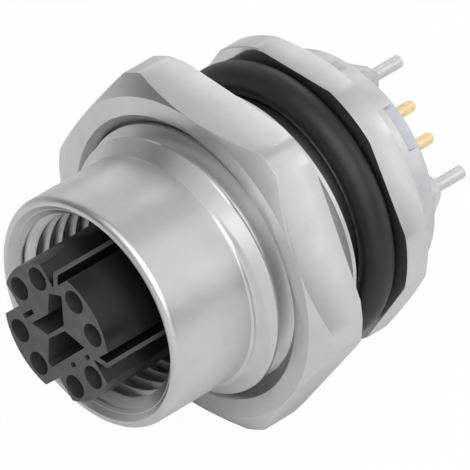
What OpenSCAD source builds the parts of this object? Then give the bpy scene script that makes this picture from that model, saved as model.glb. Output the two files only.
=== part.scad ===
// M12 X-coded eight-way panel receptacle, front fastened, with solder tails.
// The axis lies along Y. The mating face looks towards -Y and the solder tails towards +Y.
// The origin is on the axis, in the plane of the flange face that seats behind the panel.
// Every module is drawn with its local Z pointing forward, so depths are forward of that seat.

/* [Threaded housing] */
// Plane of the housing's rim, forward of the seat
rim_z = 15.7; // [14:0.1:17]
// Outside diameter of the smooth front tube
tube_d = 14; // [13.6:0.1:14.1]
// Bore of the mating cavity, the crest diameter of its M12 thread
mating_bore_d = 11; // [10.9:0.05:11.1]
// Floor of the mating cavity, forward of the seat
cavity_floor_z = 5; // [4:0.1:6]
// Crest diameter of the M16 panel thread
panel_thread_d = 16; // [15.8:0.1:16]
// Start of the panel thread's full diameter, forward of the seat
thread_front_z = 9.1; // [8.5:0.1:9.5]
// End of the panel thread at the seal groove
thread_rear_z = 2.6; // [2.4:0.1:2.9]
// Pitch of the panel thread, whose turns are drawn as parallel ridges
thread_pitch = 1.5; // [1.5:0.1:1.6]

/* [Flange] */
// Width across the flats of the rear hexagon
flange_af = 17; // [16.6:0.1:17.4]
// Diameter that the hexagon's corners are turned to
flange_corner_d = 18; // [17.6:0.1:19]
// Thickness of the rear hexagon
flange_t = 1.9; // [1.5:0.1:2.5]

/* [Panel nut] */
// Width across the flats of the nut
nut_af = 19.5; // [19:0.1:20]
// Diameter that the nut's corners are turned to
nut_corner_d = 21.7; // [21.2:0.1:22.4]
// Diameter of the flat front face inside the corner chamfer
nut_face_d = 19.5; // [19.3:0.1:20.2]
// Thickness of the nut
nut_t = 3.3; // [2.5:0.1:3.5]
// Rear face of the nut, forward of the seat
nut_rear_z = 5.1; // [4:0.1:6]
// Turn of the nut about the axis
nut_turn = 0; // [-30:0.5:30]
// Radial running clearance between nut and thread
nut_clearance = 0.05; // [0.02:0.01:0.1]

/* [Seals] */
// Section diameter of the panel seal
seal_section_d = 2; // [1.8:0.1:2.1]
// Diameter of the seal groove's floor
groove_d = 13.1; // [12.8:0.1:13.4]
// Section diameter of the ring that seals the insert
insert_seal_section_d = 1; // [0.8:0.05:1.05]

/* [Contact insert] */
// Diameter of the insert
insert_d = 8.34; // [8.1:0.02:8.4]
// How far the insert stands out of the rim
insert_proud = 2.4; // [2:0.1:3]
// Distance of each contact pair from the axis
pair_r = 3.07; // [3:0.01:3.1]
// Distance between the two contacts of a pair
pair_pitch = 2.06; // [1.9:0.02:2.1]
// Diameter of each contact hole at the mating face
contact_hole_d = 1.4; // [1.2:0.05:1.4]
// Half width of the two arms whose pairs lie across the key line
arm_half_u = 1.95; // [1.9:0.05:2.1]
// Half width of the other two arms
arm_half_v = 2.25; // [2.1:0.05:2.3]
// Thickness of the two shield ribs in the right-hand channels
rib_t = 0.34; // [0.3:0.02:0.4]

/* [Contacts] */
// Outside diameter of the socket barrel
socket_d = 1.1; // [1:0.02:1.16]
// Bore of the socket barrel
socket_bore_d = 0.8; // [0.76:0.01:0.84]
// Diameter of each solder tail
tail_d = 0.7; // [0.6:0.02:0.76]
// Rear end of the solder tails, behind the seat
tail_end = 8; // [7:0.1:9]

/* [Shield legs] */
// Diameter of the circle of shield legs
leg_pcd = 10; // [9.6:0.1:10.2]
// Diameter of each shield leg
leg_d = 0.76; // [0.7:0.02:0.8]
// Rear end of the shield legs, behind the seat
leg_end = 8.2; // [7.5:0.1:9]
// Outside diameter of the shield ring
ring_d = 14.2; // [14:0.1:14.6]
// Rear face of the shield ring, behind the seat
ring_rear = 4; // [3.5:0.1:4.5]

/* [Hidden] */
$fn = 72;
face_z = rim_z + insert_proud;
insert_r = insert_d / 2;
throat_r = insert_r + 0.02;
holder_r = 5.6;
holder_rim_r = 6.4;
holder_front_z = 3.2;
holder_rear_z = -(ring_rear + 0.6);
insert_rear_z = holder_front_z;
cross_rear_z = holder_rear_z + 0.6;
cross_t = 0.3;
nut_front_z = nut_rear_z + nut_t;
corner_chamfer = 34;
groove_r = groove_d / 2;
thread_r = panel_thread_d / 2;
flank = tan(60);
crest_half = thread_pitch / 16;
root_r = thread_r - 0.6134 * thread_pitch;
ridge_half = crest_half + (thread_r - root_r) / flank;
RIDGES = [for (turn = [3:-1:0]) thread_front_z - (turn + 0.5) * thread_pitch];
lead_in = thread_r - tube_d / 2;
rim_break = 0.4;
countersink = 0.7;
cavity_depth = 9;
far = 30;
// Where the eight contacts stand, in the insert's own axes, which lie at 45 degrees
CONTACTS = [for (quarter = [1, 0, 2, 3]) for (side = [-1, 1])
            [pair_r * cos(90 * quarter) - side * pair_pitch / 2 * sin(90 * quarter),
             pair_r * sin(90 * quarter) + side * pair_pitch / 2 * cos(90 * quarter)]];

// Turns a shape drawn with Z forward onto the connector's axis
module on_axis() {
    rotate([90, 0, 0]) children();
}

// Turns a shape on the axis by 45 degrees, to the insert's own axes
module on_insert() {
    on_axis() rotate(45) children();
}

// A round bar or tube between two depths
module tube(outer_r, from, to, inner_r = 0) {
    translate([0, 0, from]) difference() {
        cylinder(r = outer_r, h = to - from);
        if (inner_r > 0)
            translate([0, 0, -1]) cylinder(r = inner_r, h = to - from + 2);
    }
}

// A hexagon with flats up and down, corners turned and both faces chamfered
module hexagon(across_flats, corner_d, rear_z, front_z, rear_face_d, front_face_d) {
    rear_rise = (corner_d - rear_face_d) / 2 * tan(corner_chamfer);
    front_rise = (corner_d - front_face_d) / 2 * tan(corner_chamfer);
    intersection() {
        translate([0, 0, rear_z])
            linear_extrude(front_z - rear_z) circle(d = across_flats / cos(30), $fn = 6);
        rotate_extrude() polygon([
            [0, rear_z], [rear_face_d / 2, rear_z], [corner_d / 2, rear_z + rear_rise],
            [corner_d / 2, front_z - front_rise], [front_face_d / 2, front_z], [0, front_z]]);
    }
}

// The housing's outside and its stepped bore, as one turned profile in front of the flange
module panel_thread_profile() {
    tube_r = tube_d / 2;
    first_foot_z = thread_front_z + thread_pitch / 2 - ridge_half;
    first_top_z = (thread_front_z + thread_r - root_r + flank * first_foot_z) / (1 + flank);
    last_foot_z = thread_front_z - 4.5 * thread_pitch + ridge_half;
    polygon([
        [throat_r, -flange_t], [groove_r, -flange_t], [groove_r, thread_rear_z - 0.3],
        [root_r + flank * (last_foot_z - thread_rear_z), thread_rear_z], [root_r, last_foot_z],
        for (at_z = RIDGES, corner = [[root_r, -ridge_half], [thread_r, -crest_half],
                                      [thread_r, crest_half], [root_r, ridge_half]])
            [corner[0], at_z + corner[1]],
        [root_r, first_foot_z], [root_r + flank * (first_top_z - first_foot_z), first_top_z],
        [tube_r, thread_front_z + lead_in], [tube_r, rim_z - rim_break],
        [tube_r - rim_break, rim_z], [throat_r, rim_z]]);
}
module housing() {
    bore_r = mating_bore_d / 2;
    color("silver") on_axis() difference() {
        union() {
            rotate_extrude() panel_thread_profile();
            hexagon(flange_af, flange_corner_d, -flange_t, 0, flange_af, flange_corner_d - 0.1);
        }
        rotate_extrude() polygon([
            [0, -flange_t - 1], [holder_r, -flange_t - 1], [holder_r, holder_front_z],
            [throat_r, holder_front_z], [throat_r, cavity_floor_z], [bore_r, cavity_floor_z],
            [bore_r, rim_z - countersink], [bore_r + countersink, rim_z],
            [bore_r + countersink, rim_z + 1], [0, rim_z + 1]]);
    }
}

module hex_nut() {
    bore_r = thread_r + nut_clearance;
    color("silver") on_axis() rotate(nut_turn) difference() {
        hexagon(nut_af, nut_corner_d, nut_rear_z, nut_front_z, nut_corner_d - 0.8, nut_face_d);
        tube(bore_r, nut_rear_z - 1, nut_front_z + 1);
        for (end = [0, 1])
            translate([0, 0, end ? nut_front_z : nut_rear_z]) mirror([0, 0, end ? 0 : 1])
                translate([0, 0, -0.6])
                    cylinder(r1 = bore_r, r2 = bore_r + 1.2, h = 1.2);
    }
}

// A round ring of circular section
module o_ring(inner_r, section_d, centre_z) {
    translate([0, 0, centre_z]) rotate_extrude()
        translate([inner_r + section_d / 2, 0]) circle(d = section_d, $fn = 36);
}

module panel_seal() {
    color("dimgray") on_axis() o_ring(groove_r, seal_section_d, seal_section_d / 2);
}

module insert_seal() {
    color("black") on_axis()
        o_ring(insert_r, insert_seal_section_d, cavity_floor_z + insert_seal_section_d / 2);
}

// Face outline of the shield slots between the four pairs, in the insert's own axes
module shield_slots_2d() {
    polygon([[-1.65, 1.1], [0.2, 1.1], [1.3, 2.08], [2.3, 1.62], [1.05, 0.17], [-0.85, 0.13]]);
    polygon([[-0.95, -0.09], [0.85, -0.12], [1.75, -1.42], [-2.1, -1.55], [-2.2, -1.25]]);
}

// Square steps cut into the insert's rim between its four arms
module arm_notches_2d() {
    difference() {
        for (side_u = [-1, 1]) for (side_v = [-1, 1])
            translate([side_u * (arm_half_u + insert_r), side_v * (arm_half_v + insert_r)])
                square(insert_d, center = true);
        for (turn = [-45, 45]) rotate(turn) translate([insert_r / 2, -rib_t / 2])
            square([insert_r / 2 - 0.12, rib_t]);
    }
}
module face_pockets_2d() {
    translate([-1.5, 1.63]) square([1.05, 0.28], center = true);
    for (at_u = [-0.1, 1.5]) translate([at_u, -1.97]) square([0.4, 0.26], center = true);
}

module contact_carrier() {
    slot_floor_z = face_z - cavity_depth;
    color([0.16, 0.16, 0.17]) on_insert() difference() {
        tube(insert_r, insert_rear_z, face_z);
        translate([0, 0, slot_floor_z]) linear_extrude(cavity_depth + 1) {
            shield_slots_2d();
            arm_notches_2d();
        }
        translate([0, 0, face_z - 1.6]) linear_extrude(2) face_pockets_2d();
        for (at = CONTACTS) translate(at) {
            translate([0, 0, face_z - 0.8]) cylinder(d = contact_hole_d, h = 2, $fn = 32);
            translate([0, 0, insert_rear_z - 1]) cylinder(d = socket_d, h = far, $fn = 32);
        }
    }
}

// Two crossed strips, from the floor of their slot in the rear holder up to a depth
module crossed_plates(to) {
    translate([0, 0, cross_rear_z]) linear_extrude(to - cross_rear_z)
        for (turn = [0, 90]) rotate(turn)
            square([2 * holder_r - 0.8, cross_t], center = true);
}

// The metal cross that parts the four pairs inside the rear holder
module shield_cross() {
    color("silver") on_axis() crossed_plates(insert_rear_z);
}

// The rear insulator, with a slot for the shield cross and a hole for each tail
module rear_holder() {
    color([0.2, 0.2, 0.21]) on_axis() difference() {
        union() {
            tube(holder_r, -flange_t - 0.5, holder_front_z);
            tube(holder_rim_r, holder_rear_z, -flange_t);
        }
        crossed_plates(far);
        rotate(45) for (at = CONTACTS) translate([at[0], at[1], holder_rear_z - 1])
            cylinder(d = tail_d, h = far, $fn = 32);
    }
}

// A cast ring behind the flange with four gusseted shield legs
module shield_ring() {
    notch_depth = 0.65;
    gusset_w = 0.9;
    gusset_rear_z = -(ring_rear + 2.2);
    leg_r = leg_pcd / 2;
    ring_r = ring_d / 2;
    color("silver") on_axis() difference() {
        union() {
            tube(ring_r, -ring_rear, -flange_t, holder_rim_r);
            for (quarter = [0:3]) rotate(90 * quarter) {
                translate([leg_r, 0, -leg_end])
                    cylinder(d = leg_d, h = leg_end - ring_rear - 1.2, $fn = 32);
                rotate([90, 0, 0]) translate([0, 0, -gusset_w / 2]) linear_extrude(gusset_w)
                    polygon([[leg_r - 0.42, holder_rear_z], [leg_r - 0.42, gusset_rear_z],
                             [leg_r + 0.42, gusset_rear_z], [ring_r, -ring_rear + 0.4],
                             [holder_rim_r, -ring_rear + 0.4], [holder_rim_r, holder_rear_z]]);
            }
        }
        for (quarter = [0:3]) rotate(90 * quarter + 48)
            translate([0, 0, -ring_rear - 0.4]) linear_extrude(notch_depth + 0.4)
                polygon([[0, 0], far * [cos(11.5), sin(11.5)], far * [cos(11.5), -sin(11.5)]]);
    }
}

// One socket contact: slotted barrel in front, solder tail with a round end behind
module contact(index) {
    at = CONTACTS[index - 1];
    socket_r = socket_d / 2;
    barrel_front_z = face_z - 0.8;
    bore_floor_z = barrel_front_z - 5.5;
    tail_r = tail_d / 2;
    color("gold") on_insert() translate(at) difference() {
        union() {
            tube(socket_r, insert_rear_z, barrel_front_z);
            tube(tail_r, -tail_end + tail_r, insert_rear_z + 0.5);
            translate([0, 0, -tail_end + tail_r]) sphere(r = tail_r, $fn = 24);
        }
        tube(socket_bore_d / 2, bore_floor_z, barrel_front_z + 1);
    }
}

housing();
hex_nut();
panel_seal();
contact_carrier();
insert_seal();
shield_cross();
rear_holder();
shield_ring();
contact(1);  // contact_1
contact(2);  // contact_2
contact(3);  // contact_3
contact(4);  // contact_4
contact(5);  // contact_5
contact(6);  // contact_6
contact(7);  // contact_7
contact(8);  // contact_8
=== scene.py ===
"""Dressed model of an M12 X-coded panel receptacle over its CAD frame.

Lengths in the dataclasses are millimetres and are turned into metres where a mesh is made. The
connector axis is the Y axis, the mating face looks along -Y and +Z is up.
"""

from __future__ import annotations

import logging
import math
from dataclasses import dataclass, field
from enum import Enum
from typing import Any, Callable, Iterable, Sequence

import bmesh
import bpy
from mathutils import Matrix, Vector

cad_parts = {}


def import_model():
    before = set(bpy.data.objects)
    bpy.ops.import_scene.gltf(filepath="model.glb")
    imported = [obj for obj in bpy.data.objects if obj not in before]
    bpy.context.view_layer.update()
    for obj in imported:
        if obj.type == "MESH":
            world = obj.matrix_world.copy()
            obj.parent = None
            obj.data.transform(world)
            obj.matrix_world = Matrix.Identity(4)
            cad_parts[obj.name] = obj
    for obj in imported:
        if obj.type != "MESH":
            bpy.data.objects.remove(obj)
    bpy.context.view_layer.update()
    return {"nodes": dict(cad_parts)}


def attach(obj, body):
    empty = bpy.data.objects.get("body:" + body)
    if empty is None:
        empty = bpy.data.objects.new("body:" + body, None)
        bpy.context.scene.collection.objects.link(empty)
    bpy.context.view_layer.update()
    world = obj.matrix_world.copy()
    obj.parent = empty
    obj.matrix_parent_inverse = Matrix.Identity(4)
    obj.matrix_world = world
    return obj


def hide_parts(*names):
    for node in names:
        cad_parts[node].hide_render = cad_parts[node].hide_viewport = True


MM = 0.001
BODY_FIXED = "receptacle"
BODY_NUT = "nut"
# Half of a thread crest's flat is the pitch over this number.
CREST_SHARE = 12.0
# Rise of a thread's flank over its run along the axis.
FLANK_SLOPE = math.sqrt(3.0)
# Side of the square slab that a piece is cut with, in millimetres.
SLAB_WIDTH = 60.0
# Vertices of a solid's copy nearer than this are one, in metres.
COPY_MERGE = 1e-6
# Faces of a solid's copy that turn less than this are one, in degrees.
COPY_FLAT = 0.6
LOG = logging.getLogger("receptacle")

THREAD_FLOATS = (
    "Major Radius", "Depth", "Wall Radius", "Pitch", "Start", "End",
    "Lead Start", "Lead End", "Phase",
)
THREAD_COUNTS = ("Rows", "Columns", "Rows In A Pitch")


class Hand(Enum):
    """Which side of a thread's surface the metal is on."""

    EXTERNAL = "external"
    INTERNAL = "internal"


class Value:
    """A float socket that grows Math nodes under Python's operators."""

    def __init__(self, graph: "Graph", socket: bpy.types.NodeSocket) -> None:
        """Wraps one output socket of a graph."""
        self.graph = graph
        self.socket = socket

    def __add__(self, other: "Value | float") -> "Value":
        """Sum."""
        return self.graph.math("ADD", self, other)

    def __sub__(self, other: "Value | float") -> "Value":
        """Difference."""
        return self.graph.math("SUBTRACT", self, other)

    def __mul__(self, other: "Value | float") -> "Value":
        """Product."""
        return self.graph.math("MULTIPLY", self, other)

    def __truediv__(self, other: "Value | float") -> "Value":
        """Quotient."""
        return self.graph.math("DIVIDE", self, other)

    def __rsub__(self, other: float) -> "Value":
        """Difference with the number first."""
        return self.graph.math("SUBTRACT", other, self)

    __radd__ = __add__

    def __abs__(self) -> "Value":
        """Absolute value."""
        return self.graph.math("ABSOLUTE", self)

    def least(self, other: "Value | float") -> "Value":
        """The smaller of two values."""
        return self.graph.math("MINIMUM", self, other)

    def most(self, other: "Value | float") -> "Value":
        """The larger of two values."""
        return self.graph.math("MAXIMUM", self, other)

    def fraction(self) -> "Value":
        """The part after the decimal point."""
        return self.graph.math("FRACT", self)


class Graph:
    """Builds the nodes of one shader or geometry tree."""

    def __init__(self, tree: bpy.types.NodeTree) -> None:
        """Takes over a tree."""
        self.tree = tree

    def link(self, source: Any, target: bpy.types.NodeSocket) -> None:
        """Sets a socket from a Value, a socket or a plain constant."""
        if isinstance(source, Value):
            source = source.socket
        if isinstance(source, bpy.types.NodeSocket):
            self.tree.links.new(source, target)
        else:
            target.default_value = source

    def node(
        self,
        kind: str,
        settings: dict[str, Any] | None = None,
        inputs: dict[Any, Any] | None = None,
    ) -> bpy.types.Node:
        """Adds any node.

        Args:
            kind: the node's type name.
            settings: properties that are set first.
            inputs: values or links by socket name or number.

        Returns:
            The new node.
        """
        made = self.tree.nodes.new(kind)
        for name, value in (settings or {}).items():
            setattr(made, name, value)
        for key, value in (inputs or {}).items():
            self.link(value, made.inputs[key])
        return made

    def math(self, operation: str, *operands: "Value | float") -> Value:
        """Adds a Math node on one to three values."""
        made = self.node("ShaderNodeMath", {"operation": operation}, dict(enumerate(operands)))
        return Value(self, made.outputs[0])

    def parts(self, vector: bpy.types.NodeSocket) -> tuple[Value, Value, Value]:
        """Splits a vector into its X, Y and Z."""
        made = self.node("ShaderNodeSeparateXYZ", None, {0: vector})
        return tuple(Value(self, out) for out in made.outputs)  # type: ignore[return-value]

    def vector(
        self, x: "Value | float", y: "Value | float", z: "Value | float"
    ) -> bpy.types.NodeSocket:
        """Joins three values into a vector."""
        return self.node("ShaderNodeCombineXYZ", None, {0: x, 1: y, 2: z}).outputs[0]

    def noise(self, where: Any, grain: float, detail: float = 2.0, rough: float = 0.5) -> Value:
        """Noise between 0 and 1.

        Args:
            where: the vector that it reads.
            grain: size of one feature, in millimetres.
            detail: number of finer layers.
            rough: strength of the finer layers.

        Returns:
            The noise as a value.
        """
        inputs = {
            "Vector": where, "Scale": 1.0 / (grain * MM), "Detail": detail, "Roughness": rough,
        }
        made = self.node("ShaderNodeTexNoise", {"noise_dimensions": "3D"}, inputs)
        return Value(self, made.outputs[0])

    def colour(self, factor: "Value | float", low: Sequence[float], high: Sequence[float]) -> Any:
        """Mixes two colours by a factor."""
        made = self.node("ShaderNodeMix", {"data_type": "RGBA"}, {0: factor})
        made.inputs[6].default_value = (*low, 1.0)
        made.inputs[7].default_value = (*high, 1.0)
        return made.outputs[2]


@dataclass(frozen=True)
class Finish:
    """A finish with a little variation in colour, roughness and relief.

    Grains are millimetres, and relief is the depth of the bump in millimetres.
    """

    name: str
    dark: tuple[float, float, float]
    light: tuple[float, float, float]
    metallic: float
    rough_low: float
    rough_high: float
    cloud: float = 1.6
    grain: float = 0.06
    relief: float = 0.002
    ring: float = 0.0
    ring_relief: float = 0.0
    drawn: float = 0.0
    specular: float = 0.5

    def material(self) -> bpy.types.Material:
        """Builds the node material of this finish."""
        made = bpy.data.materials.new(self.name)
        made.use_nodes = True
        graph = Graph(made.node_tree)
        shader = made.node_tree.nodes["Principled BSDF"]
        where = graph.node("ShaderNodeTexCoord").outputs["Object"]
        cloud = graph.noise(where, self.cloud, detail=3.0, rough=0.55)
        grain = graph.noise(where, self.grain, detail=2.0, rough=0.6)
        height = grain * self.relief
        tone = cloud * 0.75 + grain * 0.25
        if self.ring:
            x, y, z = graph.parts(where)
            away = graph.math("SQRT", x * x + z * z)
            across = graph.vector(0.0, away + y, 0.0)
            rings = graph.noise(across, self.ring, detail=2.0, rough=0.7)
            height = height + rings * self.ring_relief
            tone = tone * 0.8 + rings * 0.2
        if self.drawn:
            x, y, z = graph.parts(where)
            stretched = graph.vector(x, y * 0.04, z)
            lines = graph.noise(stretched, self.drawn, detail=1.0, rough=0.6)
            height = height + lines * self.relief
            tone = tone * 0.8 + lines * 0.2
        # The middle half of the tone is stretched to the whole range.
        spread = graph.math("MULTIPLY_ADD", tone, 2.0, -0.5).most(0.0).least(1.0)
        graph.link(graph.colour(spread, self.dark, self.light), shader.inputs["Base Color"])
        roughness = self.rough_low + (1 - spread) * (self.rough_high - self.rough_low)
        graph.link(roughness, shader.inputs["Roughness"])
        shader.inputs["Metallic"].default_value = self.metallic
        shader.inputs["Specular IOR Level"].default_value = self.specular
        relief = {"Strength": 1.0, "Distance": MM, "Height": height}
        bump = graph.node("ShaderNodeBump", None, relief)
        graph.link(bump.outputs[0], shader.inputs["Normal"])
        return made


NICKEL_TURNED = Finish(
    "satin_nickel_turned", (0.60, 0.60, 0.60), (0.69, 0.69, 0.69), 1.0, 0.32, 0.42,
    ring=0.07, ring_relief=0.0012, relief=0.0008,
)
NICKEL_NUT = Finish(
    "satin_nickel_nut", (0.60, 0.60, 0.60), (0.70, 0.70, 0.70), 1.0, 0.30, 0.42,
    drawn=0.09, relief=0.0010,
)
NICKEL_SEAT = Finish(
    "polished_seat", (0.60, 0.60, 0.60), (0.68, 0.68, 0.68), 1.0, 0.10, 0.16,
    ring=0.07, ring_relief=0.0004, relief=0.0003,
)
ZINC_CAST = Finish(
    "cast_zinc", (0.60, 0.60, 0.605), (0.70, 0.70, 0.705), 1.0, 0.40, 0.52,
    cloud=0.8, grain=0.09, relief=0.003,
)
PLASTIC_BLACK = Finish(
    "moulded_black", (0.003, 0.003, 0.003), (0.007, 0.007, 0.007), 0.0, 0.26, 0.36,
    cloud=1.1, grain=0.05, relief=0.0012, specular=0.5,
)
# Lit copy of the black plastic: its lighter base colour is painted light on the insert's mating
# face and rib edges.
PLASTIC_FACE_PAINTED_LIGHT = Finish(
    "moulded_black_face_painted_light", (0.075, 0.075, 0.077), (0.115, 0.115, 0.118), 0.0, 0.50, 0.62,
    cloud=0.9, grain=0.05, relief=0.0016, specular=0.3,
)
# Lit copy of the black plastic: its lighter base colour is painted light on the walls of the
# contact holes and cavities.
PLASTIC_WALL_PAINTED_LIGHT = Finish(
    "moulded_black_wall_painted_light", (0.030, 0.030, 0.031), (0.050, 0.050, 0.052), 0.0, 0.50, 0.62,
    cloud=0.9, grain=0.05, relief=0.0016, specular=0.3,
)
PLASTIC_HOLDER = Finish(
    "moulded_holder", (0.46, 0.48, 0.53), (0.56, 0.58, 0.63), 0.0, 0.45, 0.6,
    cloud=1.1, grain=0.05, relief=0.0022,
)
RUBBER = Finish(
    "seal_rubber", (0.007, 0.007, 0.007), (0.014, 0.014, 0.014), 0.0, 0.40, 0.50,
    cloud=0.7, grain=0.045, relief=0.0012, specular=0.5,
)
GOLD = Finish(
    "contact_gold", (0.96, 0.68, 0.36), (1.0, 0.82, 0.52), 1.0, 0.40, 0.55,
    cloud=0.5, grain=0.05, relief=0.0006,
)


class Shape:
    """Mesh making shared by the sub-assemblies."""

    @staticmethod
    def mesh_object(name: str, mesh: bpy.types.Mesh) -> bpy.types.Object:
        """Puts a mesh in the scene under a name."""
        made = bpy.data.objects.new(name, mesh)
        bpy.context.scene.collection.objects.link(made)
        return made

    @staticmethod
    def dress(piece: bpy.types.Object, finish: bpy.types.Material) -> bpy.types.Object:
        """Gives a piece one finish in place of any that it has."""
        piece.data.materials.clear()
        piece.data.materials.append(finish)
        return piece

    @staticmethod
    def turned(
        name: str, profile: Sequence[tuple[float, float]], steps: int = 192
    ) -> bpy.types.Object:
        """Turns a closed outline about the Y axis.

        Args:
            name: name of the object.
            profile: corners (radius, y) in millimetres, in order round the outline.
            steps: number of faces in a turn.

        Returns:
            A closed shell with outward faces.
        """
        work = bmesh.new()
        rings = []
        for turn in range(steps):
            angle = 2 * math.pi * turn / steps
            c, s = math.cos(angle) * MM, math.sin(angle) * MM
            rings.append([work.verts.new((r * c, y * MM, r * s)) for r, y in profile])
        for turn in range(steps):
            here, there = rings[turn], rings[(turn + 1) % steps]
            for k in range(len(profile)):
                n = (k + 1) % len(profile)
                work.faces.new((here[k], here[n], there[n], there[k]))
        bmesh.ops.recalc_face_normals(work, faces=work.faces[:])
        mesh = bpy.data.meshes.new(name)
        work.to_mesh(mesh)
        work.free()
        return Shape.mesh_object(name, mesh)

    @staticmethod
    def copy_of(node: bpy.types.Object, name: str) -> bpy.types.Object:
        """A merged, cleaned copy of a CAD node's mesh."""
        mesh = node.data.copy()
        mesh.name = name
        work = bmesh.new()
        work.from_mesh(mesh)
        bmesh.ops.remove_doubles(work, verts=work.verts[:], dist=COPY_MERGE)
        bmesh.ops.dissolve_limit(
            work, angle_limit=math.radians(COPY_FLAT), verts=work.verts[:], edges=work.edges[:]
        )
        work.to_mesh(mesh)
        work.free()
        return Shape.mesh_object(name, mesh)

    @staticmethod
    def settle(piece: bpy.types.Object) -> bpy.types.Object:
        """Turns live modifiers into plain mesh."""
        graph = bpy.context.evaluated_depsgraph_get()
        plain = bpy.data.meshes.new_from_object(piece.evaluated_get(graph))
        plain.name = piece.name
        old = piece.data
        piece.modifiers.clear()
        piece.data = plain
        if isinstance(old, bpy.types.Mesh):
            bpy.data.meshes.remove(old)
        return piece

    @staticmethod
    def keep_between(piece: bpy.types.Object, low: float, high: float) -> None:
        """Keeps only what lies between two heights on the Y axis, in millimetres."""
        mesh = bpy.data.meshes.new("slab")
        work = bmesh.new()
        bmesh.ops.create_cube(work, size=1.0)
        size = (SLAB_WIDTH * MM, (high - low) * MM, SLAB_WIDTH * MM)
        bmesh.ops.scale(work, vec=size, verts=work.verts[:])
        bmesh.ops.translate(work, vec=(0, (high + low) / 2 * MM, 0), verts=work.verts[:])
        work.to_mesh(mesh)
        work.free()
        slab = Shape.mesh_object("slab", mesh)
        cut = piece.modifiers.new("slab", "BOOLEAN")
        cut.operation, cut.solver, cut.object = "INTERSECT", "EXACT", slab
        Shape.settle(piece)
        bpy.data.objects.remove(slab)

    @staticmethod
    def soften(
        piece: bpy.types.Object, width: float, segments: int = 3, angle: float = 28.0,
        shade_angle: float = 32.0,
    ) -> None:
        """Rounds the sharp edges by a width in millimetres and smooths the shading."""
        bevel = piece.modifiers.new("edge", "BEVEL")
        bevel.width, bevel.segments = width * MM, segments
        bevel.limit_method, bevel.angle_limit = "ANGLE", math.radians(angle)
        bevel.harden_normals = False
        bevel.use_clamp_overlap = True
        Shape.settle(piece)
        Shape.smooth(piece, shade_angle)

    @staticmethod
    def dress_where(
        piece: bpy.types.Object,
        finish: bpy.types.Material,
        wanted: Callable[[Vector, Vector], bool],
    ) -> None:
        """Gives some faces a second finish.

        Args:
            piece: the piece that carries the faces.
            finish: the second finish.
            wanted: says from a face's centre, in millimetres, and its normal whether it takes it.
        """
        piece.data.materials.append(finish)
        number = len(piece.data.materials) - 1
        for face in piece.data.polygons:
            if wanted(face.center / MM, face.normal):
                face.material_index = number

    @staticmethod
    def smooth(piece: bpy.types.Object, angle: float) -> None:
        """Shades smooth where faces meet at less than an angle."""
        mesh = piece.data
        work = bmesh.new()
        work.from_mesh(mesh)
        for face in work.faces:
            face.smooth = True
        for edge in work.edges:
            flat = len(edge.link_faces) != 2 or edge.calc_face_angle(0.0) > math.radians(angle)
            edge.smooth = not flat
        work.to_mesh(mesh)
        work.free()


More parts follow.
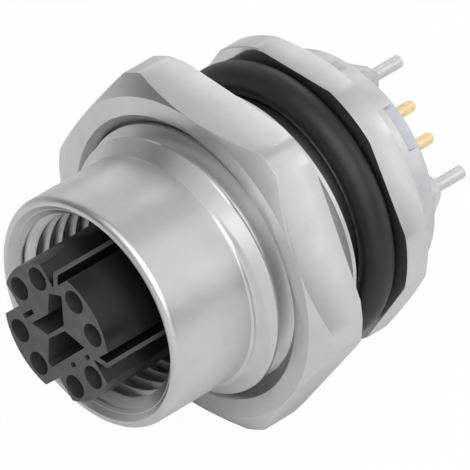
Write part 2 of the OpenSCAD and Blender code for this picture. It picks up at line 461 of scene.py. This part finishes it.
@dataclass
class Thread:
    """A helical thread sleeve made by a geometry node tree.

    The sleeve is a closed shell: one side is the thread, the other a plain wall that lies inside
    the metal that carries it.
    """

    name: str
    hand: Hand
    major_r: float
    depth: float
    wall_r: float
    pitch: float
    start: float
    end: float
    lead_r_start: float
    lead_r_end: float
    phase: float = 0.5667
    rows_per_pitch: int = 24
    columns: int = 144
    grid_merge: float = 2e-7
    mesh_merge: float = 3e-7
    shade_angle: float = 40.0

    def radius_at(self, given: dict[str, Value], y: Value, turn: Value) -> Value:
        """Radius of the threaded side at one place.

        Args:
            given: the group's inputs by name.
            y: height on the axis.
            turn: share of a full turn.

        Returns:
            The radius, cut down by the leads at both ends.
        """
        pitch = given["Pitch"]
        beat = (y / pitch + turn + given["Phase"]).fraction()
        away = abs(beat - 0.5) * pitch
        drop = ((away - pitch / CREST_SHARE) * FLANK_SLOPE).most(0.0).least(given["Depth"])
        radius = given["Major Radius"] - drop
        from_start, from_end = y - given["Start"], given["End"] - y
        if self.hand is Hand.EXTERNAL:
            radius = radius.least(given["Lead Start"] + from_start)
            return radius.least(given["Lead End"] + from_end)
        radius = radius.most(given["Lead Start"] - from_start)
        return radius.most(given["Lead End"] - from_end)

    def tree(self) -> bpy.types.NodeTree:
        """Builds the node group that places every point of the sleeve."""
        tree = bpy.data.node_groups.new(self.name, "GeometryNodeTree")
        face = tree.interface
        kinds = {name: "NodeSocketFloat" for name in THREAD_FLOATS}
        kinds.update({name: "NodeSocketInt" for name in THREAD_COUNTS})
        kinds["Finish"] = "NodeSocketMaterial"
        for name, kind in kinds.items():
            face.new_socket(name, in_out="INPUT", socket_type=kind)
        face.new_socket("Mesh", in_out="OUTPUT", socket_type="NodeSocketGeometry")
        graph = Graph(tree)
        group = graph.node("NodeGroupInput")
        given = {
            name: Value(graph, group.outputs[name]) for name in (*THREAD_FLOATS, *THREAD_COUNTS)
        }
        rows = given["Rows"]
        # Three rows more than the thread has: two for the wall and one that closes the sleeve.
        grid = graph.node(
            "GeometryNodeMeshGrid", None,
            {"Vertices X": given["Columns"] + 1.0, "Vertices Y": rows + 3.0},
        )
        across, along, _ = graph.parts(graph.node("GeometryNodeInputPosition").outputs[0])
        turn = across + 0.5
        row = graph.math("ROUND", (along + 0.5) * (rows + 2.0))
        raw = given["Start"] + (row / given["Rows In A Pitch"] - turn) * given["Pitch"]
        y = raw.most(given["Start"]).least(given["End"])
        radius = self.radius_at(given, y, turn)
        closing_radius = self.radius_at(given, given["Start"], turn)
        back_far = graph.math("COMPARE", row, rows, 0.5)
        back_near = graph.math("COMPARE", row, rows + 1.0, 0.5)
        closing = graph.math("COMPARE", row, rows + 2.0, 0.5)
        wall = back_far.most(back_near)
        radius = radius + (given["Wall Radius"] - radius) * wall
        radius = radius + (closing_radius - radius) * closing
        y = y + (given["End"] - y) * back_far
        y = y + (given["Start"] - y) * back_near.most(closing)
        angle = turn * (2 * math.pi)
        cosine, sine = graph.math("COSINE", angle), graph.math("SINE", angle)
        place = graph.vector(radius * cosine, y, radius * sine)
        mesh = grid.outputs["Mesh"]
        for kind, extra in (
            ("GeometryNodeSetPosition", {"Position": place}),
            ("GeometryNodeMergeByDistance", {"Distance": self.grid_merge}),
            ("GeometryNodeSetShadeSmooth", {}),
            ("GeometryNodeRealizeInstances", {}),
            ("GeometryNodeSetMaterial", {"Material": group.outputs["Finish"]}),
        ):
            mesh = graph.node(kind, None, {"Geometry": mesh, **extra}).outputs[0]
        out = graph.node("NodeGroupOutput")
        graph.link(mesh, out.inputs[0])
        return tree

    def build(self, finish: bpy.types.Material) -> bpy.types.Object:
        """Runs the tree once and returns the sleeve as a plain mesh piece."""
        piece = Shape.mesh_object(self.name, bpy.data.meshes.new(self.name))
        rows = math.ceil(((self.end - self.start) / self.pitch + 2) * self.rows_per_pitch)
        tree = self.tree()
        modifier = piece.modifiers.new("thread", "NODES")
        modifier.node_group = tree
        values = {
            "Major Radius": self.major_r * MM, "Depth": self.depth * MM,
            "Wall Radius": self.wall_r * MM, "Pitch": self.pitch * MM,
            "Start": self.start * MM, "End": self.end * MM,
            "Lead Start": self.lead_r_start * MM, "Lead End": self.lead_r_end * MM,
            "Phase": self.phase, "Rows": rows, "Columns": self.columns,
            "Rows In A Pitch": self.rows_per_pitch, "Finish": finish,
        }
        for item in tree.interface.items_tree:
            if item.in_out == "INPUT":
                modifier[item.identifier] = values[item.name]
        Shape.settle(piece)
        piece.data.materials.pop(index=0)
        work = bmesh.new()
        work.from_mesh(piece.data)
        for face in work.faces:
            face.material_index = 0
        bmesh.ops.remove_doubles(work, verts=work.verts[:], dist=self.mesh_merge)
        bmesh.ops.dissolve_degenerate(work, edges=work.edges[:], dist=1e-7)
        bmesh.ops.recalc_face_normals(work, faces=work.faces[:])
        work.to_mesh(piece.data)
        work.free()
        Shape.smooth(piece, self.shade_angle)
        return piece


@dataclass
class Housing:
    """Threaded barrel with its rear hexagon flange."""

    nodes: dict[str, bpy.types.Object]
    rim_y: float = -15.7
    tube_r: float = 7.0
    bore_r: float = 6.08
    rim_bore_r: float = 6.5
    rim_break: float = 0.4
    floor_y: float = -5.0
    throat_r: float = 4.19
    holder_r: float = 5.6
    holder_front_y: float = -3.2
    root_r: float = 7.05
    groove_r: float = 6.55
    thread_front_y: float = -10.1
    thread_rear_y: float = -2.6
    flange_rear_y: float = 1.9
    flange_edge: float = 0.12

    def barrel(self, finish: bpy.types.Material) -> bpy.types.Object:
        """Turns the barrel from rim to flange."""
        edge = self.rim_break
        arc = []
        for step in range(7):
            a = math.radians(90 * step / 6)
            r = self.tube_r - edge + edge * math.sin(a)
            arc.append((r, self.rim_y + edge - edge * math.cos(a)))
        outside = [
            *arc,
            (self.tube_r, self.thread_front_y),
            (self.root_r, self.thread_front_y + 0.05),
            (self.root_r, self.thread_rear_y - 0.3),
            (self.groove_r, self.thread_rear_y + 0.3),
            (self.groove_r, 0.6),
        ]
        inside = [
            (self.holder_r, 0.6),
            (self.holder_r, self.holder_front_y),
            (self.throat_r, self.holder_front_y),
            (self.throat_r, self.floor_y),
            (self.bore_r, self.floor_y),
            (self.bore_r, self.rim_y + self.rim_bore_r - self.bore_r),
            (self.rim_bore_r, self.rim_y),
        ]
        piece = Shape.dress(Shape.turned("housing_barrel", [*outside, *inside]), finish)
        Shape.smooth(piece, 30.0)
        return piece

    def flange(self, finish: bpy.types.Material, seat: bpy.types.Material) -> bpy.types.Object:
        """Takes the hexagon flange from the housing's solid and polishes the seal's seat."""
        piece = Shape.copy_of(self.nodes["housing"], "housing_flange")
        Shape.keep_between(piece, 0.0, self.flange_rear_y + 0.5)
        Shape.soften(piece, self.flange_edge)
        Shape.dress(piece, finish)
        Shape.dress_where(piece, seat, lambda at, normal: normal.y < -0.9 and abs(at.y) < 0.1)
        return piece

    def threads(self, finish: bpy.types.Material) -> list[bpy.types.Object]:
        """Cuts the panel thread outside and the mating thread inside."""
        panel = Thread(
            "panel_thread", Hand.EXTERNAL,
            major_r=8.0, depth=0.92, wall_r=6.7, pitch=1.5,
            start=self.thread_front_y, end=self.thread_rear_y,
            lead_r_start=7.0, lead_r_end=7.6,
        )
        mating = Thread(
            "mating_thread", Hand.INTERNAL,
            major_r=6.0, depth=0.54, wall_r=6.3, pitch=1.0,
            start=self.rim_y + 0.3, end=self.floor_y - 2.0,
            lead_r_start=6.17, lead_r_end=6.0, phase=0.94, rows_per_pitch=16,
        )
        return [panel.build(finish), mating.build(finish)]

    def build(self, finish: bpy.types.Material, seat: bpy.types.Material) -> list[bpy.types.Object]:
        """Builds every piece of the housing."""
        return [self.barrel(finish), self.flange(finish, seat), *self.threads(finish)]


@dataclass
class PanelNut:
    """Hexagon nut on the front of the panel."""

    nodes: dict[str, bpy.types.Object]
    front_y: float = -8.4
    rear_y: float = -5.1
    turned_deg: float = 3.2
    edge: float = 0.16
    thread_inset: float = 0.42

    def build(self, finish: bpy.types.Material) -> list[bpy.types.Object]:
        """Builds the hexagon and its thread."""
        hexagon = Shape.copy_of(self.nodes["hex_nut"], "nut_hexagon")
        hexagon.data.transform(Matrix.Rotation(math.radians(self.turned_deg), 4, "Y"))
        Shape.soften(hexagon, self.edge)
        Shape.dress(hexagon, finish)
        thread = Thread(
            "nut_thread", Hand.INTERNAL,
            major_r=8.03, depth=0.81, wall_r=8.25, pitch=1.5,
            start=self.front_y + self.thread_inset, end=self.rear_y - self.thread_inset,
            lead_r_start=8.22, lead_r_end=8.22,
        )
        return [hexagon, thread.build(finish)]


@dataclass
class PlainPieces:
    """Solids whose shape is right and that only get softer edges and a finish; the insert's carrier
    also gets two lighter copies of its black plastic as painted light.
    """

    nodes: dict[str, bpy.types.Object]
    edges: dict[str, float] = field(
        default_factory=lambda: {
            "panel_seal": 0.0, "contact_carrier": 0.05, "insert_seal": 0.0, "shield_cross": 0.04,
            "rear_holder": 0.06, "shield_ring": 0.12,
        }
    )
    face_y: float = -18.0
    hole_y: float = -17.0
    cavity_r: float = 2.6
    hole_r: float = 3.96
    rib_edge_r: tuple[float, float] = (3.95, 4.1)
    rib_half: float = 0.2
    steep: float = 0.5
    shade_angle: float = 40.0

    def is_painted_light_face(self, at: Vector, normal: Vector) -> bool:
        """True for the insert's mating face and the outer edges of its two shield ribs, which get
        the lighter painted-light copy of the black plastic.
        """
        inner, outer = self.rib_edge_r
        away, beside = math.hypot(at.x, at.z), min(abs(at.x), abs(at.z))
        rib_edge = inner < away < outer and beside < self.rib_half and abs(normal.y) < self.steep
        return rib_edge or (normal.y < -self.steep and at.y < self.face_y)

    def is_painted_light_wall(self, at: Vector, normal: Vector) -> bool:
        """True for the walls of the insert's contact holes and of its two cavities, which get the
        lighter painted-light copy of the black plastic.
        """
        away = math.hypot(at.x, at.z)
        near = away < self.cavity_r or (away < self.hole_r and at.y < self.hole_y)
        return near and abs(normal.y) < self.steep

    def build(self, finishes: dict[str, bpy.types.Material]) -> list[bpy.types.Object]:
        """Builds a finer copy of each solid.

        Args:
            finishes: material by node name.

        Returns:
            The pieces, each named after its node.
        """
        made = []
        for node, width in self.edges.items():
            piece = Shape.copy_of(self.nodes[node], f"{node}_finish")
            if width:
                Shape.soften(piece, width)
            else:
                Shape.smooth(piece, self.shade_angle)
            Shape.dress(piece, finishes[node])
            if node == "contact_carrier":
                # Painted light: the hole and cavity walls and the mating face with its rib edges
                # get lighter copies of the same black plastic.
                Shape.dress_where(piece, PLASTIC_WALL_PAINTED_LIGHT.material(), self.is_painted_light_wall)
                Shape.dress_where(piece, PLASTIC_FACE_PAINTED_LIGHT.material(), self.is_painted_light_face)
            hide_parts(node)
            made.append(piece)
        return made


# Azimuth and height in degrees, and power in watts, of each softbox.
SOFTBOXES = (
    (-30, 38, 1.60), (60, 8, 0.70), (90, 38, 0.55), (30, 38, 0.50), (120, 8, 0.55), (-60, 72, 0.85),
    (150, 38, 0.45), (-60, 8, 0.35), (-90, 38, 0.35), (180, 8, 0.30), (-140, 38, 0.12),
)


@dataclass
class Studio:
    """Camera, lights, floor and backdrop."""

    aim: Vector = field(default_factory=lambda: Vector((4.487, -8.883, 4.262)) * MM)
    eye: Vector = field(default_factory=lambda: Vector((273.1, -270.1, 286.4)) * MM)
    lens: float = 660.2
    sensor: float = 36.0
    clip: tuple[float, float] = (0.02, 5.0)
    floor_z: float = -10.02
    floor_half: float = 1.5
    paper_tone: float = 0.80
    paper_rough: float = 0.8
    paper_glow: float = 0.97
    box_size: float = 0.56
    box_distance: float = 0.5

    def camera(self) -> None:
        """Places the camera."""
        data = bpy.data.cameras.new("camera")
        data.lens, data.sensor_width = self.lens, self.sensor
        data.clip_start, data.clip_end = self.clip
        eye = bpy.data.objects.new("camera", data)
        bpy.context.scene.collection.objects.link(eye)
        eye.location = self.eye
        eye.rotation_mode = "QUATERNION"
        eye.rotation_quaternion = (self.aim - self.eye).to_track_quat("-Z", "Y")
        bpy.context.scene.camera = eye

    def lamp(self, name: str, azimuth: float, height: float, power: float) -> None:
        """Adds a softbox that faces the connector.

        Args:
            name: name of the lamp.
            azimuth: degrees from +X towards +Y.
            height: degrees above the floor.
            power: watts.
        """
        data = bpy.data.lights.new(name, "AREA")
        data.shape, data.size, data.energy = "DISK", self.box_size, power
        lamp = bpy.data.objects.new(name, data)
        bpy.context.scene.collection.objects.link(lamp)
        turn, rise = math.radians(azimuth), math.radians(height)
        level = math.cos(rise)
        way = Vector((math.cos(turn) * level, math.sin(turn) * level, math.sin(rise)))
        lamp.location = self.aim + way * self.box_distance
        lamp.rotation_mode = "QUATERNION"
        lamp.rotation_quaternion = (-way).to_track_quat("-Z", "Y")

    def floor(self) -> None:
        """Adds the floor, white to the camera and pale to the object."""
        work = bmesh.new()
        bmesh.ops.create_grid(work, x_segments=1, y_segments=1, size=self.floor_half)
        bmesh.ops.translate(work, vec=(0, 0, self.floor_z * MM), verts=work.verts[:])
        mesh = bpy.data.meshes.new("floor")
        work.to_mesh(mesh)
        work.free()
        paper = bpy.data.materials.new("paper")
        paper.use_nodes = True
        graph = Graph(paper.node_tree)
        shader = paper.node_tree.nodes["Principled BSDF"]
        tone = self.paper_tone
        shader.inputs["Base Color"].default_value = (tone, tone, tone, 1)
        shader.inputs["Roughness"].default_value = self.paper_rough
        seen = graph.node("ShaderNodeLightPath").outputs["Is Camera Ray"]
        glow = graph.node("ShaderNodeEmission", None, {"Strength": 1.0})
        shares = {
            0: Value(graph, seen) * self.paper_glow, 1: shader.outputs[0], 2: glow.outputs[0],
        }
        blend = graph.node("ShaderNodeMixShader", None, shares)
        graph.link(blend.outputs[0], paper.node_tree.nodes["Material Output"].inputs[0])
        Shape.dress(Shape.mesh_object("floor", mesh), paper)

    def world(self) -> None:
        """Makes the surroundings white to the camera and dark to every other ray."""
        world = bpy.data.worlds.new("studio")
        world.use_nodes = True
        bpy.context.scene.world = world
        graph = Graph(world.node_tree)
        ground = world.node_tree.nodes["Background"]
        seen = Value(graph, graph.node("ShaderNodeLightPath").outputs["Is Camera Ray"])
        graph.link(seen, ground.inputs["Strength"])
        ground.inputs["Color"].default_value = (1, 1, 1, 1)

    def build(self) -> None:
        """Sets the whole studio up."""
        view = bpy.context.scene.view_settings
        view.view_transform = "Standard"
        self.camera()
        self.floor()
        self.world()
        for number, (azimuth, height, power) in enumerate(SOFTBOXES):
            self.lamp(f"softbox_{number + 1}", azimuth, height, power)


def ride_all(pieces: Iterable[bpy.types.Object], body: str) -> None:
    """Makes pieces ride on a body and logs each one."""
    for piece in pieces:
        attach(piece, body)
        LOG.info("%s on %s, %d faces", piece.name, body, len(piece.data.polygons))


def gild_contacts(nodes: dict[str, bpy.types.Object], gold: bpy.types.Material) -> None:
    """Gives the contacts' own solids the gold finish and smooth shading."""
    for name, node in nodes.items():
        if name.startswith("contact_") and name != "contact_carrier":
            Shape.dress(node, gold)
            for face in node.data.polygons:
                face.use_smooth = True


def main() -> None:
    """Builds the connector in order."""
    logging.basicConfig(level=logging.INFO, format="%(name)s: %(message)s")
    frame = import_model()
    nodes = frame["nodes"]
    turned, nut = NICKEL_TURNED.material(), NICKEL_NUT.material()
    zinc, black, holder = ZINC_CAST.material(), PLASTIC_BLACK.material(), PLASTIC_HOLDER.material()
    rubber, gold = RUBBER.material(), GOLD.material()
    Studio().build()
    housing = Housing(nodes).build(turned, NICKEL_SEAT.material())
    for piece in housing:
        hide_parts("housing")
    ride_all(housing, BODY_FIXED)
    nut_pieces = PanelNut(nodes).build(nut)
    for piece in nut_pieces:
        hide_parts("hex_nut")
    ride_all(nut_pieces, BODY_NUT)
    dressing = {
        "panel_seal": rubber, "contact_carrier": black, "insert_seal": rubber,
        "shield_cross": zinc, "rear_holder": holder, "shield_ring": zinc,
    }
    ride_all(PlainPieces(nodes).build(dressing), BODY_FIXED)
    gild_contacts(nodes, gold)


if __name__ == "__main__":
    main()
